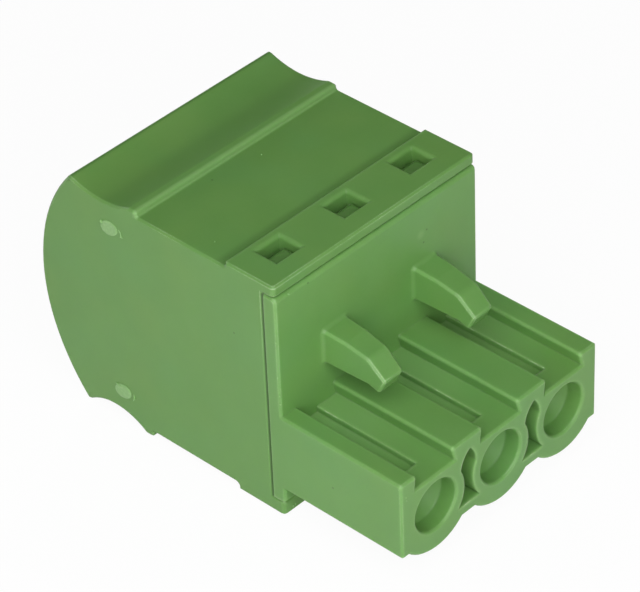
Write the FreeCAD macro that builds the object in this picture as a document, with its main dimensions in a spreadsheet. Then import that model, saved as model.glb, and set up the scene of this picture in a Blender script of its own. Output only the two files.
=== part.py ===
import FreeCAD, Part
import Sketcher
import math
import operator
import os

# Pluggable screw terminal block for board headers, poles side by side along X.
# The mating nose points to -Y, the wires and the screwdriver come in from +Y, and +Z is up.
# Each sub-part is drawn about the pin axis: Y is counted from the front plate's face and Z from the
# pins' centre line. Its placement then puts the origin under the middle of the whole block.

doc = FreeCAD.newDocument("terminal_block")
sheet = doc.addObject("Spreadsheet::Sheet", "Sizes")

SIZES = {
    # Whole block
    "poles": (3, "number of poles"),
    "pitch": (5.08, "distance from pole to pole"),
    "side_margin": (0.10, "how far each side stands outside the poles' cells"),
    "body_length": (17.90, "front plate's face to the rearmost point of the curved back"),
    "half_height": (7.65, "half of the housing's height"),
    "pin_height": (3.90, "pin axis above the housing's underside"),
    # Housing's outer form
    "ledge_length": (3.50, "front ledge, from the plate's face to its step"),
    "step_top": (0.32, "drop behind the ledge, top"),
    "step_bottom": (0.40, "drop behind the ledge, underside"),
    "ridge_start": (10.00, "plate's face to the grip ridge"),
    "ridge_width": (0.55, "width of the ridge's crest"),
    "tip_reach": (15.05, "plate's face to the sharp edges of the back"),
    "scoop_top": (0.46, "depth of the finger scoop, top"),
    "scoop_bottom": (0.75, "depth of the finger scoop, underside"),
    "lip_setback": (0.10, "lips' front edges behind the plate's face"),
    "lip_thickness": (0.70, "upper lip over the plate"),
    "lip_gap": (0.05, "gap between the plate and the upper lip"),
    "sill_thickness": (0.95, "lower lip under the plate"),
    "sill_gap": (0.05, "gap between the plate and the lower lip"),
    "seam_gap": (0.05, "gap between the housing's walls and the plate's rear"),
    "edge_break": (0.11, "broken edges of the housing's side outlines, step and lips"),
    "lip_round": (0.25, "rounding of the lips' upright corners"),
    "crest_round": (0.20, "rounding of the grip ridge's crest"),
    "crest_foot": (0.10, "hollow rounding at the ridge's foot"),
    "ledge_foot": (0.20, "hollow rounding behind the ledge"),
    "tip_round": (0.20, "rounding of the back's two long edges"),
    "window_round": (0.24, "rounding of the upper windows' rims"),
    # Housing's inside
    "wall": (0.95, "roof and floor of the chambers"),
    "chamber_width": (3.90, "width of one pole's chamber"),
    "window_width": (1.74, "catch window across the pole"),
    "window_start": (1.50, "plate's face to the window"),
    "window_length": (1.50, "window along the block"),
    "wire_radius": (1.55, "wire entry"),
    "wire_funnel": (2.15, "wire entry's mouth"),
    "funnel_depth": (1.90, "funnel, counted from the rearmost point"),
    "access_radius": (1.50, "screwdriver hole, narrower than the screw's head"),
    "access_mouth": (1.90, "screwdriver hole's mouth"),
    "mouth_depth": (1.10, "mouth's chamfer, counted from the rearmost point"),
    # Front moulding
    "plate_thickness": (0.90, "front plate"),
    "nose_length": (8.38, "plate's face to the nose's end"),
    "rail_height": (2.96, "nose's rails above the pin axis"),
    "slot_depth": (0.90, "coding slot below the rails"),
    "slot_left": (1.43, "slot's mouth, left of the pole"),
    "slot_right": (1.28, "slot's mouth, right of the pole"),
    "slot_floor": (1.55, "slot's floor, each side of the pole"),
    "channel_depth": (0.35, "channel in the slot's floor"),
    "channel_left": (1.50, "channel's left wall from the pole"),
    "channel_right": (0.05, "channel's right wall from the pole"),
    "channel_stop": (1.40, "nose's end to the channel"),
    "lobe_radius": (2.87, "rounded underside about each pin"),
    "side_drop": (1.97, "nose's flat sides end this far under the pin axis"),
    "web_drop": (2.05, "webs between the lobes under the pin axis"),
    "entry_radius": (1.57, "pin entry"),
    "entry_depth": (1.05, "depth of the pin entry"),
    "entry_floor": (0.75, "wall at the bottom of the pin entry"),
    "lead_depth": (0.50, "funnel that leads the pin into that wall"),
    "lead_radius": (0.80, "funnel's narrow end, about the hole's corners"),
    "pin_hole": (0.55, "half of the square hole for the pin in that wall"),
    "tube_radius": (2.20, "outside of each pin tube, seen in the cavities"),
    "cavity_floor": (1.40, "cavity's floor under the pin axis"),
    "cavity_shoulder": (1.05, "cavity's shoulder above the pin axis"),
    "cavity_peak": (2.20, "cavity's peak above the pin axis"),
    "cavity_offset": (0.12, "peak's offset from the cell's edge"),
    "cavity_arch": (1.60, "radius of the arch above the shoulder"),
    "cavity_depth": (7.00, "cavity, from the nose's end"),
    "hook_offset": (3.50, "latch arms from the middle"),
    "hook_width": (1.80, "width of a latch arm"),
    "hook_height": (6.75, "latch arm's root above the pin axis"),
    "hook_reach": (4.20, "plate's face to the arm's point"),
    "hook_knee": (3.05, "plate's face to the arm's bend"),
    "hook_fall": (0.40, "drop of the arm's back from root to bend"),
    "hook_tip": (5.35, "point of the arm above the pin axis"),
    "hook_under": (4.66, "arm's underside above the pin axis"),
    "hook_barb": (0.24, "barb below the underside"),
    "hook_lean": (0.47, "how far the arm's end leans back below its point"),
    "hook_taper": (0.18, "how far each side of the arm closes in towards the point"),
    "hook_corner": (0.24, "rounding of the point's right corner"),
    "hook_break": (0.10, "broken edges along the arm and round its point"),
    "hook_bend": (0.70, "rounding of the arm's bend"),
    "hook_root": (0.24, "hollow rounding where the arm leaves the plate"),
    "nose_break": (0.10, "broken edges of the nose's end and of the front moulding's sides"),
    "rail_round": (0.14, "rounding of the rails' edges along the slots"),
    "plate_round": (0.30, "rounding of the plate's upper edge"),
    "seam_break": (0.06, "broken rear edges of the plate at the seam"),
    "tab_width": (1.54, "snap tab across the pole"),
    "tab_thickness": (0.60, "snap tab"),
    "tab_length": (2.20, "snap tab behind the plate"),
    "catch_height": (0.95, "catch above its tab"),
    "catch_crown": (0.65, "catch's height begins to fall off this far behind its front"),
    "catch_round": (0.35, "rounding of the upper catch's long edges"),
    "stop_height": (3.00, "stop rib's underside above the pin axis"),
    "stop_thickness": (1.20, "stop rib"),
    "stop_width": (2.40, "stop rib across the pole"),
    # Metal pieces of one pole
    "fit_gap": (0.10, "play of a fixed piece in its seat"),
    "slide_gap": (0.05, "play of a moving piece"),
    "frame_thickness": (0.70, "clamp frame's metal"),
    "bend_radius": (0.90, "clamp frame's outer bends"),
    "travel": (2.50, "travel of the wedge nut and of the jaw"),
    "screw_radius": (1.50, "clamping screw's shank"),
    "head_radius": (1.80, "clamping screw's head"),
    "head_length": (1.60, "clamping screw's head"),
    "screw_point": (0.30, "chamfer at the screw's end and head"),
    "drive_width": (0.80, "screwdriver slot"),
    "drive_depth": (0.80, "screwdriver slot"),
    "nut_heel": (1.05, "flat underside of the wedge nut, before its slope"),
    "nut_half": (1.95, "wedge nut's metal above the screw's axis"),
    "nut_drop": (0.70, "wedge nut's toe below the open jaw's face"),
    "jaw_flat": (1.07, "flat top of the jaw, behind its slope"),
    "jaw_edge": (1.00, "thickness of the jaw's thin end"),
    "jaw_groove": (0.35, "depth of the wire groove in the jaw"),
    "jaw_room": (0.30, "open jaw below the screw"),
    "contact_thickness": (0.40, "contact's metal"),
    "contact_half": (1.05, "half of the contact's width"),
    "blade_half": (0.90, "contact blade above and below the pin axis"),
    "blade_pinch": (0.23, "how far each blade leans in at its nip"),
    "blade_flare": (0.33, "how far each blade's end opens again"),
    "base_front": (2.60, "contact's folded base, front end before the plate"),
    "base_rear": (0.80, "contact's folded base, rear end before the plate"),
    "nip_reach": (5.30, "plate's face to the blades' nip"),
    "spring_thickness": (0.20, "backing spring's metal"),
    "spring_gap": (0.02, "backing spring's play on the contact"),
    "spring_half": (0.50, "backing spring's leg above and below the pin axis"),
}


class Size:
    """A length with its value and the expression that gives it from the sheet."""

    def __init__(self, value, text):
        self.value = float(value)
        self.text = text

    def __add__(self, other):
        return combine(self, "+", other)

    def __radd__(self, other):
        return combine(other, "+", self)

    def __sub__(self, other):
        return combine(self, "-", other)

    def __rsub__(self, other):
        return combine(other, "-", self)

    def __mul__(self, other):
        return combine(self, "*", other)

    def __rmul__(self, other):
        return combine(other, "*", self)

    def __truediv__(self, other):
        return combine(self, "/", other)

    def __neg__(self):
        return combine(0, "-", self)


SIGNS = {"+": operator.add, "-": operator.sub, "*": operator.mul, "/": operator.truediv}


def as_size(thing):
    if isinstance(thing, Size):
        return thing
    return Size(thing, f"({float(thing)!r})")


def combine(left, sign, right):
    left, right = as_size(left), as_size(right)
    return Size(SIGNS[sign](left.value, right.value), f"({left.text} {sign} {right.text})")


def root(inside):
    return Size(math.sqrt(inside.value), f"sqrt({inside.text})")


def square(size):
    return size * size


class Sheet:
    """The sheet's cells by name."""


at = Sheet()
for row, (alias, (number, note)) in enumerate(SIZES.items(), start=1):
    sheet.set(f"A{row}", note)
    sheet.set(f"B{row}", str(number))
    sheet.setAlias(f"B{row}", alias)
    setattr(at, alias, Size(number, f"Sizes.{alias}"))
doc.recompute()

# Outer limits of the block
half_width = (at.poles * at.pitch + 2 * at.side_margin) / 2
first_pole = (1 - at.poles) * at.pitch / 2
row_length = (at.poles - 1) * at.pitch
centres = [first_pole + number * at.pitch for number in range(int(at.poles.value))]
bottom = -at.pin_height
top = 2 * at.half_height - at.pin_height
ridge_end = at.ridge_start + at.ridge_width

# Front plate between the housing's lips
plate_top = top - at.lip_thickness - at.lip_gap
plate_bottom = bottom + at.sill_thickness + at.sill_gap

# Chamber and clamp frame
chamber_top = top - at.step_top - at.wall
chamber_bottom = bottom + at.step_bottom + at.wall
frame_top = chamber_top - at.fit_gap
frame_bottom = chamber_bottom + at.fit_gap
frame_width = at.chamber_width - 2 * at.fit_gap
frame_front = at.plate_thickness + at.tab_length + 2 * at.fit_gap
frame_inner_front = frame_front + at.frame_thickness

# Heights in the clamp frame, from its floor up: the contact's tail, the wire, the jaw and the screw
tail_bottom = frame_bottom + at.frame_thickness
tail_top = tail_bottom + at.contact_thickness
wire_height = tail_top + at.fit_gap + at.wire_radius
jaw_bottom = wire_height + at.wire_radius
nut_toe = jaw_bottom - at.nut_drop
screw_height = frame_top - at.frame_thickness - at.fit_gap - at.nut_half
jaw_top = screw_height - at.screw_radius - at.jaw_room

# Along the clamp frame, from its front to the screw's head: the nut and the jaw meet on slopes of 45 degrees
nut_front = frame_inner_front + at.fit_gap
nut_toe_reach = nut_front + at.nut_heel
jaw_front = nut_toe_reach + at.nut_drop + at.jaw_edge + at.slide_gap
jaw_slope_top = jaw_front + jaw_top - jaw_bottom - at.jaw_edge
jaw_rear = jaw_slope_top + at.jaw_flat
frame_inner_rear = jaw_rear + at.fit_gap
frame_rear = frame_inner_rear + at.frame_thickness
chamber_rear = frame_rear + at.fit_gap
nut_rear = frame_inner_rear - at.fit_gap - at.travel
nut_slope_top = jaw_bottom + at.jaw_edge + at.slide_gap + nut_rear - jaw_front
tail_end = frame_rear - at.bend_radius - at.fit_gap
head_front = frame_rear + at.slide_gap
head_rear = head_front + at.head_length
slider_width = frame_width - 2 * at.fit_gap

# Snap tabs, whose catches stand in the housing's windows
tab_roof = chamber_top - at.fit_gap
tab_floor = chamber_bottom + at.fit_gap
catch_front = at.window_start + at.fit_gap
catch_rear = at.window_start + at.window_length - at.fit_gap

# Contact in the nose
bore_end = at.nose_length - at.entry_depth - at.entry_floor
contact_tip = bore_end - at.fit_gap
spring_outer = at.contact_half + at.spring_gap + at.spring_thickness
socket_half = spring_outer + at.fit_gap / 2
spring_top = at.blade_half + at.spring_gap + at.spring_thickness
socket_top = spring_top + at.fit_gap

PLANES = {"plan": "XY_Plane", "front": "XZ_Plane", "side": "YZ_Plane"}
AXIS_OF_ROW = "X_Axis"
PICK_SLACK = 0.01


def new_body(label, pole=None, rise=0):
    body = doc.addObject("PartDesign::Body", label)
    body.Label = label
    offset = as_size(0) if pole is None else first_pole + (pole - 1) * at.pitch
    place = {"x": offset, "y": (at.nose_length - at.body_length) / 2, "z": at.pin_height + rise}
    for axis, size in place.items():
        body.setExpression(f"Placement.Base.{axis}", size.text)
    return body


def origin_feature(body, role):
    return next(item for item in body.Origin.OriginFeatures if item.Role == role)


def new_sketch(body, name, plane, offset=0, rise=0):
    """A sketch on one of the body's own planes, moved along its normal and up its vertical axis."""
    sketch = body.newObject("Sketcher::SketchObject", f"{body.Name}_{name}")
    sketch.AttachmentSupport = [(origin_feature(body, PLANES[plane]), "")]
    sketch.MapMode = "FlatFace"
    along = -as_size(offset) if plane == "front" else as_size(offset)
    sketch.setExpression("AttachmentOffset.Base.z", along.text)
    sketch.setExpression("AttachmentOffset.Base.y", as_size(rise).text)
    return sketch


def tie(sketch, geometry, end, x, y):
    for kind, axis, size in (("DistanceX", -2, as_size(x)), ("DistanceY", -1, as_size(y))):
        if abs(size.value) < 1e-9:
            sketch.addConstraint(Sketcher.Constraint("PointOnObject", geometry, end, axis))
            continue
        index = sketch.addConstraint(Sketcher.Constraint(kind, -1, 1, geometry, end, size.value))
        sketch.setExpression(f"Constraints[{index}]", size.text)


def tie_radius(sketch, geometry, radius):
    index = sketch.addConstraint(Sketcher.Constraint("Radius", geometry, radius.value))
    sketch.setExpression(f"Constraints[{index}]", radius.text)


def arc_between(start, end, radius, turn):
    """The shorter arc from start to end; turn is 1 counterclockwise and -1 clockwise."""
    chord = end - start
    rise = math.sqrt(max(radius ** 2 - (chord.Length / 2) ** 2, 0))
    normal = FreeCAD.Vector(-chord.y, chord.x, 0).normalize()
    centre = (start + end) / 2 + normal * rise * turn
    angles = [math.atan2(point.y - centre.y, point.x - centre.x) for point in (start, end)]
    circle = Part.Circle(centre, FreeCAD.Vector(0, 0, 1), radius)
    return Part.ArcOfCircle(circle, *(angles if turn > 0 else reversed(angles)))


def draw(sketch, corners):
    """A closed outline. A corner is (x, y), or (x, y, radius, turn) where an arc leads to the next one."""
    points = [FreeCAD.Vector(as_size(corner[0]).value, as_size(corner[1]).value, 0) for corner in corners]
    edges = []
    for index, corner in enumerate(corners):
        start, end = points[index], points[(index + 1) % len(points)]
        if len(corner) == 2:
            edges.append((sketch.addGeometry(Part.LineSegment(start, end)), 1, 2))
            continue
        radius, turn = as_size(corner[2]), corner[3]
        arc = sketch.addGeometry(arc_between(start, end, radius.value, turn))
        edges.append((arc, 1, 2) if turn > 0 else (arc, 2, 1))
        tie_radius(sketch, arc, radius)
    for index, corner in enumerate(corners):
        edge, start, _ = edges[index]
        before, _, end = edges[index - 1]
        sketch.addConstraint(Sketcher.Constraint("Coincident", before, end, edge, start))
        tie(sketch, edge, start, corner[0], corner[1])


def draw_box(sketch, left, right, low, high):
    draw(sketch, [(left, low), (right, low), (right, high), (left, high)])


def draw_round_box(sketch, left, right, low, high, radius):
    draw(sketch, [
        (left + radius, low), (right - radius, low, radius, 1),
        (right, low + radius), (right, high - radius, radius, 1),
        (right - radius, high), (left + radius, high, radius, 1),
        (left, high - radius), (left, low + radius, radius, 1),
    ])


def draw_circle(sketch, x, y, radius):
    radius = as_size(radius)
    centre = FreeCAD.Vector(as_size(x).value, as_size(y).value, 0)
    circle = sketch.addGeometry(Part.Circle(centre, FreeCAD.Vector(0, 0, 1), radius.value))
    tie(sketch, circle, 3, x, y)
    tie_radius(sketch, circle, radius)


def extrude(kind, body, sketch, length, symmetric=False, reverse=False):
    feature = body.newObject(f"PartDesign::{kind}", f"{sketch.Name}_{kind.lower()}")
    feature.Profile = sketch
    feature.setExpression("Length", as_size(length).text)
    feature.SideType = "Symmetric" if symmetric else "One side"
    feature.Reversed = reverse
    body.Tip = feature
    return feature


def pad(body, sketch, length, **sides):
    return extrude("Pad", body, sketch, length, **sides)


def pocket(body, sketch, length, **sides):
    return extrude("Pocket", body, sketch, length, **sides)


def turn_about_axis(kind, body, sketch):
    feature = body.newObject(f"PartDesign::{kind}", f"{sketch.Name}_{kind.lower()}")
    feature.Profile = sketch
    feature.ReferenceAxis = (sketch, ["H_Axis"])
    feature.Angle = 360
    body.Tip = feature
    return feature


def repeat_along_row(body, name, features, count, span):
    """Copies of the features along X, evenly spread over the span."""
    pattern = body.newObject("PartDesign::LinearPattern", f"{body.Name}_{name}")
    pattern.Originals = features
    pattern.Direction = (origin_feature(body, AXIS_OF_ROW), [""])
    pattern.setExpression("Length", span.text)
    pattern.setExpression("Occurrences", count.text)
    body.Tip = pattern
    return pattern


def lies_within(box, place):
    spans = ((box.XMin, box.XMax), (box.YMin, box.YMax), (box.ZMin, box.ZMax))
    for (low, high), limit in zip(spans, place):
        if limit is None:
            continue
        floor, ceiling = limit if isinstance(limit, tuple) else (limit, limit)
        if low < as_size(floor).value - PICK_SLACK or high > as_size(ceiling).value + PICK_SLACK:
            return False
    return True


def soften(kind, body, name, size, places, keep):
    """Treats the edges inside any of the places but not those inside keep.

    A place is x, y and z, each of them None, a size or (low, high).
    """
    doc.recompute()
    base = body.Tip
    edges = [f"Edge{number}" for number, edge in enumerate(base.Shape.Edges, start=1)
             if any(lies_within(edge.BoundBox, place) for place in places)
             and not (keep and lies_within(edge.BoundBox, keep))]
    feature = body.newObject(f"PartDesign::{kind}", f"{body.Name}_{name}")
    feature.Base = (base, edges)
    feature.setExpression("Radius" if kind == "Fillet" else "Size", size.text)
    body.Tip = feature
    return feature


def round_edges(body, name, radius, *places, keep=None):
    return soften("Fillet", body, name, radius, places, keep)


def break_edges(body, name, size, *places, keep=None):
    return soften("Chamfer", body, name, size, places, keep)


def housing():
    """Rear moulding: curved back, ledges with catch windows, and one chamber with two holes per pole."""
    body = new_body("housing")
    half_chord = (at.tip_reach - ridge_end) / 2
    bow_top = (square(half_chord) + square(at.scoop_top)) / (2 * at.scoop_top)
    bow_bottom = (square(half_chord) + square(at.scoop_bottom)) / (2 * at.scoop_bottom)
    sag = at.body_length - at.tip_reach
    wall_front = at.plate_thickness + at.seam_gap
    back = (square(at.half_height) + square(sag)) / (2 * sag)
    profile = new_sketch(body, "profile", "side")
    draw(profile, [
        (at.lip_setback, bottom), (at.ledge_length, bottom),
        (at.ledge_length, bottom + at.step_bottom), (at.ridge_start, bottom + at.step_bottom),
        (at.ridge_start, bottom), (ridge_end, bottom, bow_bottom, -1),
        (at.tip_reach, bottom, back, 1), (at.tip_reach, top, bow_top, -1),
        (ridge_end, top), (at.ridge_start, top),
        (at.ridge_start, top - at.step_top), (at.ledge_length, top - at.step_top),
        (at.ledge_length, top), (at.lip_setback, top),
        (at.lip_setback, top - at.lip_thickness), (wall_front, top - at.lip_thickness),
        (wall_front, bottom + at.sill_thickness), (at.lip_setback, bottom + at.sill_thickness),
    ])
    pad(body, profile, 2 * half_width, symmetric=True)
    lips = [(side, at.lip_setback, height) for side in (-half_width, half_width)
            for height in ((top - at.lip_thickness, top), (bottom, bottom + at.sill_thickness))]
    round_edges(body, "lip_corners", at.lip_round, *lips)
    round_edges(body, "crests", at.crest_round, *[(None, reach, height) for height in (bottom, top)
                                                  for reach in (at.ridge_start, ridge_end)])
    round_edges(body, "tips", at.tip_round, (None, at.tip_reach, bottom), (None, at.tip_reach, top))
    hollows = (top - at.step_top, bottom + at.step_bottom)
    round_edges(body, "crest_feet", at.crest_foot, *[(None, at.ridge_start, height) for height in hollows])
    round_edges(body, "ledge_feet", at.ledge_foot, *[(None, at.ledge_length, height) for height in hollows])
    break_edges(body, "outline", at.edge_break, (-half_width, None, None), (half_width, None, None),
                (None, at.ledge_length, bottom), (None, at.lip_setback, top), (None, at.lip_setback, bottom))

    chamber = new_sketch(body, "chamber", "front", offset=at.plate_thickness)
    draw_box(chamber, first_pole - at.chamber_width / 2, first_pole + at.chamber_width / 2,
             chamber_bottom, chamber_top)
    cell = [pocket(body, chamber, chamber_rear - at.plate_thickness)]

    wire = new_sketch(body, "wire", "side", offset=first_pole, rise=wire_height)
    draw(wire, [
        (chamber_rear - at.fit_gap, 0), (at.body_length + at.wall, 0),
        (at.body_length + at.wall, at.wire_funnel), (at.body_length, at.wire_funnel),
        (at.body_length - at.funnel_depth, at.wire_radius),
        (chamber_rear - at.fit_gap, at.wire_radius),
    ])
    cell.append(turn_about_axis("Groove", body, wire))

    driver = new_sketch(body, "driver", "side", offset=first_pole, rise=screw_height)
    pocket_end = head_rear + at.fit_gap
    pocket_radius = at.head_radius + at.fit_gap
    draw(driver, [
        (chamber_rear - at.fit_gap, 0), (at.body_length + at.wall, 0),
        (at.body_length + at.wall, at.access_mouth), (at.body_length, at.access_mouth),
        (at.body_length - at.mouth_depth, at.access_radius), (pocket_end, at.access_radius),
        (pocket_end, pocket_radius), (chamber_rear - at.fit_gap, pocket_radius),
    ])
    cell.append(turn_about_axis("Groove", body, driver))

    for name, height, deep, reverse in (("window_top", top, top - chamber_top, False),
                                        ("window_bottom", bottom, chamber_bottom - bottom, True)):
        window = new_sketch(body, name, "plan", offset=height)
        draw_box(window, first_pole - at.window_width / 2, first_pole + at.window_width / 2,
                 at.window_start, at.window_start + at.window_length)
        cell.append(pocket(body, window, deep, reverse=reverse))
    repeat_along_row(body, "cells", cell, at.poles, row_length)
    window_end = at.window_start + at.window_length
    round_edges(body, "window_rims", at.window_round, (None, (at.window_start, window_end), top))
    return body


def nose_outline():
    """Seen from the front: flat top, straight sides with broken edges and one lobe under each pin."""
    corners = [
        (-half_width, at.rail_height - at.nose_break), (at.nose_break - half_width, at.rail_height),
        (half_width - at.nose_break, at.rail_height), (half_width, at.rail_height - at.nose_break),
        (half_width, at.nose_break - at.side_drop), (half_width - at.nose_break, -at.side_drop),
    ]
    side_chord = root(square(at.lobe_radius) - square(at.side_drop))
    web_chord = root(square(at.lobe_radius) - square(at.web_drop))
    count = int(at.poles.value)
    for pole in range(count, 0, -1):
        centre = first_pole + (pole - 1) * at.pitch
        right = (centre + side_chord, -at.side_drop) if pole == count else (centre + web_chord, -at.web_drop)
        left = (centre - side_chord, -at.side_drop) if pole == 1 else (centre - web_chord, -at.web_drop)
        corners.append((*right, at.lobe_radius, -1))
        corners.append(left)
    corners += [(at.nose_break - half_width, -at.side_drop), (-half_width, at.nose_break - at.side_drop)]
    return corners


def cavity_outline():
    """Keyhole between two pin tubes, bounded by their outsides, with a pointed arch and a flat floor."""
    middle = first_pole + at.pitch / 2
    floor_half = at.pitch / 2 - root(square(at.tube_radius) - square(at.cavity_floor))
    shoulder_half = at.pitch / 2 - root(square(at.tube_radius) - square(at.cavity_shoulder))
    peak = middle + at.cavity_offset
    return [
        (middle - floor_half, -at.cavity_floor),
        (middle + floor_half, -at.cavity_floor, at.tube_radius, -1),
        (middle + shoulder_half, at.cavity_shoulder, at.cavity_arch, 1),
        (peak, at.cavity_peak, at.cavity_arch, 1),
        (middle - shoulder_half, at.cavity_shoulder, at.tube_radius, -1),
    ]


def hook_outline():
    """Latch arm seen from the side, with its bent point and the barb behind it."""
    knee_height = at.hook_height - at.hook_fall
    barb = at.hook_under - at.hook_barb
    return [
        (0, at.hook_height), (0, at.hook_under), (-at.hook_knee, at.hook_under),
        (-at.hook_reach + at.hook_lean, barb), (-at.hook_reach, at.hook_tip),
        (-at.hook_knee, knee_height), (-at.hook_knee / 2, at.hook_height - at.hook_fall / 4),
    ]


def round_nose(body):
    """Softens the latch arms, then the rails and the nose's end."""
    arms = [(side * at.hook_offset - at.hook_width / 2, side * at.hook_offset + at.hook_width / 2)
            for side in (-1, 1)]
    flanks = []
    for left, right in arms:
        flanks += [(left, left + at.hook_taper), (right - at.hook_taper, right)]
    before_plate = (-at.hook_reach, 0)
    foot = at.hook_under - at.hook_barb
    arm_rise = (foot, at.hook_height)
    end_reach = (-at.hook_reach, -at.hook_reach + at.hook_lean)
    knee = at.hook_height - at.hook_fall
    round_edges(body, "arm_bends", at.hook_bend, *[(arm, -at.hook_knee, knee) for arm in arms])
    round_edges(body, "arm_corners", at.hook_corner,
                *[(flank, end_reach, (foot, at.hook_tip)) for flank in flanks[1::2]])
    break_edges(body, "arm_edges", at.hook_break,
                *[(flank, before_plate, arm_rise) for flank in flanks],
                *[(arm, end_reach[0], at.hook_tip) for arm in arms],
                *[(arm, end_reach[1], foot) for arm in arms],
                keep=(None, 0, None))
    round_edges(body, "arm_roots", at.hook_root, *[(arm, 0, arm_rise) for arm in arms])

    round_edges(body, "rails", at.rail_round, *[(centre + mouth, None, at.rail_height) for centre in centres
                                                for mouth in (-at.slot_left, at.slot_right)])
    break_edges(body, "nose_end", at.nose_break, (None, -at.nose_length, None))


def nose_front():
    """Front moulding: plate, nose with pin tubes and coding slots, latch arms, snap tabs and stop ribs."""
    body = new_body("nose_front")
    plate = new_sketch(body, "plate", "front", offset=0)
    draw_box(plate, -half_width, half_width, plate_bottom, plate_top)
    pad(body, plate, at.plate_thickness, reverse=True)
    sides = (-half_width, half_width)
    round_edges(body, "plate_top", at.plate_round, (None, 0, plate_top))
    break_edges(body, "plate_edges", at.nose_break, *[(side, 0, None) for side in sides],
                (None, 0, plate_bottom))
    break_edges(body, "seam", at.seam_break, *[(side, at.plate_thickness, None) for side in sides])

    nose = new_sketch(body, "nose", "front", offset=at.plate_thickness / 2)
    draw(nose, nose_outline())
    pad(body, nose, at.nose_length + at.plate_thickness / 2)

    for side in (-1, 1):
        name = "hook_left" if side < 0 else "hook_right"
        hook = new_sketch(body, name, "side", offset=side * at.hook_offset)
        draw(hook, hook_outline())
        pad(body, hook, at.hook_width, symmetric=True)
        flanks = new_sketch(body, f"{name}_flanks", "plan", offset=at.hook_height)
        for way in (-1, 1):
            root_x = side * at.hook_offset + way * at.hook_width / 2
            draw(flanks, [(root_x, 0), (root_x, -2 * at.hook_reach),
                          (root_x - way * 2 * at.hook_taper, -2 * at.hook_reach)])
        pocket(body, flanks, at.hook_height - at.hook_under + 2 * at.hook_barb)

    nose_end = -at.nose_length
    floor = at.rail_height - at.slot_depth
    slot = new_sketch(body, "slot", "front", offset=nose_end)
    draw(slot, [
        (first_pole - at.slot_left, at.rail_height), (first_pole - at.slot_floor, floor),
        (first_pole + at.slot_floor, floor), (first_pole + at.slot_right, at.rail_height),
    ])
    cell = [pocket(body, slot, at.nose_length)]

    channel = new_sketch(body, "channel", "front", offset=nose_end + at.channel_stop)
    draw_box(channel, first_pole - at.channel_left, first_pole + at.channel_right,
             floor - at.channel_depth, floor)
    cell.append(pocket(body, channel, at.nose_length - at.channel_stop))

    entry = new_sketch(body, "entry", "front", offset=nose_end)
    draw_circle(entry, first_pole, 0, at.entry_radius)
    cell.append(pocket(body, entry, at.entry_depth))

    lead_in = new_sketch(body, "lead_in", "side", offset=first_pole)
    entry_end = nose_end + at.entry_depth
    draw(lead_in, [
        (entry_end, 0), (entry_end + at.lead_depth, 0), (entry_end + at.lead_depth, at.lead_radius),
        (entry_end, at.entry_radius),
    ])
    cell.append(turn_about_axis("Groove", body, lead_in))

    hole = new_sketch(body, "hole", "front", offset=nose_end)
    draw_box(hole, first_pole - at.pin_hole, first_pole + at.pin_hole, -at.pin_hole, at.pin_hole)
    cell.append(pocket(body, hole, at.nose_length - bore_end + at.fit_gap))

    socket = new_sketch(body, "socket", "front", offset=at.plate_thickness)
    draw_box(socket, first_pole - socket_half, first_pole + socket_half,
             tail_bottom - at.fit_gap, socket_top)
    cell.append(pocket(body, socket, at.plate_thickness + bore_end, reverse=True))

    roof_tab = new_sketch(body, "roof_tab", "side", offset=first_pole)
    tab_end = at.plate_thickness + at.tab_length
    catch_crown = catch_front + at.catch_crown
    draw(roof_tab, [
        (at.plate_thickness, tab_roof - at.tab_thickness), (tab_end, tab_roof - at.tab_thickness),
        (tab_end, tab_roof), (catch_rear, tab_roof, at.catch_height, 1),
        (catch_crown, tab_roof + at.catch_height), (catch_front + at.fit_gap, tab_roof + at.catch_height),
        (catch_front, tab_roof + at.catch_height - at.fit_gap), (catch_front, tab_roof),
        (at.plate_thickness, tab_roof),
    ])
    cell.append(pad(body, roof_tab, at.tab_width, symmetric=True))

    floor_tab = new_sketch(body, "floor_tab", "side", offset=first_pole)
    tab_head = tail_bottom - at.fit_gap
    draw(floor_tab, [
        (at.plate_thickness, tab_floor), (catch_front, tab_floor),
        (catch_front, tab_floor - at.catch_height + at.fit_gap),
        (catch_front + at.fit_gap, tab_floor - at.catch_height),
        (catch_crown, tab_floor - at.catch_height, at.catch_height, 1),
        (catch_rear, tab_floor), (tab_end, tab_floor),
        (tab_end, tab_head), (at.plate_thickness, tab_head),
    ])
    cell.append(pad(body, floor_tab, at.tab_width, symmetric=True))

    catch_sides = new_sketch(body, "catch_sides", "front", offset=catch_front)
    peak = tab_roof + at.catch_height
    for way in (-1, 1):
        side = first_pole + way * at.tab_width / 2
        draw(catch_sides, [(side - way * at.catch_round, peak, at.catch_round, -way),
                           (side, peak - at.catch_round), (side, peak)])
    cell.append(pocket(body, catch_sides, catch_rear - catch_front))

    stop = new_sketch(body, "stop", "front", offset=at.plate_thickness)
    draw_box(stop, first_pole - at.stop_width / 2, first_pole + at.stop_width / 2,
             at.stop_height, at.stop_height + at.stop_thickness)
    cell.append(pad(body, stop, frame_front - at.fit_gap - at.plate_thickness, reverse=True))
    repeat_along_row(body, "cells", cell, at.poles, row_length)

    round_nose(body)
    cavity = new_sketch(body, "cavity", "front", offset=nose_end)
    draw(cavity, cavity_outline())
    between = pocket(body, cavity, at.cavity_depth)
    if at.poles.value > 2:
        repeat_along_row(body, "cavities", [between], at.poles - 1, row_length - at.pitch)
    return body


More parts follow.
